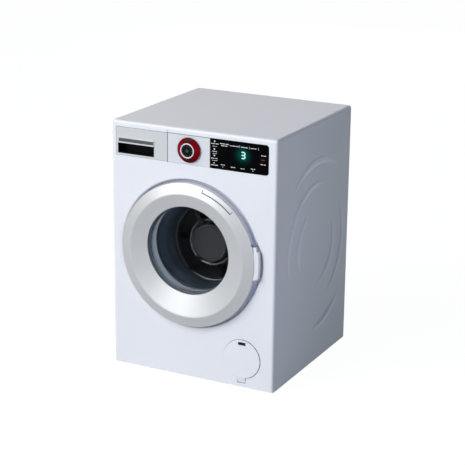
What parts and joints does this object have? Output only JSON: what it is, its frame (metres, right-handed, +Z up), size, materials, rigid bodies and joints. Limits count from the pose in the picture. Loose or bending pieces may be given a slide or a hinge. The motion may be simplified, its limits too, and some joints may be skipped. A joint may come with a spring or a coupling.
{
  "type": "toy washing machine",
  "caption": "Toy front-loading washing machine with hinged round door, turning drum, dial, pull-out drawer and service flap.",
  "frame": {"origin": "on the ground under the middle of the bounding box", "axes": "+Z up, the door faces -Y, +X to the right of someone facing the door"},
  "size_m": [0.1866, 0.1876, 0.26],
  "materials": {
    "white_gloss": "smooth injection-moulded white plastic",
    "white_inner": "plain moulded white plastic",
    "grey_satin": "satin light grey plastic",
    "silver_satin": "satin silver paint on plastic",
    "display_black": "gloss black lens, unprinted",
    "dark_plastic": "satin black plastic",
    "seal_grey": "soft grey moulding",
    "drum_black": "gloss black plastic",
    "lens_clear": "clear moulding",
    "knob_red": "gloss red plastic",
    "foot_rubber": "soft black rubber",
    "steel": "zinc-plated steel",
    "brass": "turned metal",
    "gear_white": "natural acetal",
    "board_green": "green circuit board",
    "cell_jacket": "plain unprinted cell jacket"
  },
  "bodies": {
    "cabinet_assembly": {"front_panel": "white_gloss", "cabinet": "white_gloss", "back_panel": "white_gloss", "base_plate": "white_inner", "feet": "foot_rubber", "control_fascia": "grey_satin", "display_window": "display_black", "display_led": "white_inner", "circuit_board": "board_green", "rotary_switch": "dark_plastic", "drawer_housing": "white_inner", "door_seal": "seal_grey", "tub": "white_inner", "drum_bearing": "brass", "gearbox_plate": "grey_satin", "gearbox_screws": "steel", "idler_axle": "steel", "motor": "steel", "door_hinge_bracket": "grey_satin", "door_hinge_pin": "steel", "speaker": "dark_plastic", "battery_box": "white_inner", "batteries": "cell_jacket", "battery_contacts": "steel", "battery_cover": "white_gloss", "battery_cover_screw": "steel", "back_screws": "steel"},
    "door": {"door_ring": "silver_satin", "door_shell": "white_gloss", "window_bezel": "dark_plastic", "window_lens": "lens_clear", "door_handle": "white_gloss", "door_tongue": "grey_satin"},
    "drum": {"drum_shell": "drum_black", "drum_lifters": "drum_black", "drum_hub_cap": "dark_plastic", "drum_shaft": "steel", "drum_gear": "gear_white"},
    "idler": {"idler_gear": "gear_white"},
    "rotor": {"motor_shaft": "steel", "motor_pinion": "brass"},
    "knob": {"knob_skirt": "knob_red", "knob_collar": "silver_satin", "knob_shaft": "dark_plastic"},
    "button": {"start_button": "dark_plastic", "button_plunger": "dark_plastic"},
    "drawer": {"drawer_front": "grey_satin", "drawer_tray": "grey_satin", "drawer_grip": "dark_plastic", "drawer_trim": "silver_satin"},
    "flap": {"service_flap": "white_gloss"}
  },
  "joints": [
    {"name": "door_hinge", "type": "hinge", "parent": "cabinet_assembly", "child": "door", "pos_m": [-0.0736, -0.08625, 0.132], "axis": [0, 0, -1], "range_deg": [0, 105]},
    {"name": "drum_spin", "type": "hinge", "parent": "cabinet_assembly", "child": "drum", "pos_m": [-0.003, -0.04425, 0.132], "axis": [0, 1, 0], "continuous": true},
    {"name": "idler_spin", "type": "hinge", "parent": "cabinet_assembly", "child": "idler", "pos_m": [-0.003, -0.01425, 0.102], "axis": [0, 1, 0], "continuous": true},
    {"name": "rotor_spin", "type": "hinge", "parent": "cabinet_assembly", "child": "rotor", "pos_m": [-0.003, -0.00925, 0.077], "axis": [0, 1, 0], "continuous": true},
    {"name": "knob_turn", "type": "hinge", "parent": "cabinet_assembly", "child": "knob", "pos_m": [-0.0035, -0.08425, 0.239], "axis": [0, 1, 0], "continuous": true},
    {"name": "button_press", "type": "slide", "parent": "knob", "child": "button", "axis": [0, 1, 0], "range_m": [0, 0.0012], "stiffness_N_per_m": 100},
    {"name": "drawer_slide", "type": "slide", "parent": "cabinet_assembly", "child": "drawer", "axis": [0, -1, 0], "range_m": [0, 0.055]},
    {"name": "flap_hinge", "type": "hinge", "parent": "cabinet_assembly", "child": "flap", "pos_m": [0.0568, -0.08295, 0.007], "axis": [1, 0, 0], "range_deg": [0, 90]}
  ],
  "couplings": [
    {"joint": "idler_spin", "follows": "drum_spin", "ratio": -4},
    {"joint": "rotor_spin", "follows": "drum_spin", "ratio": 16}
  ]
}
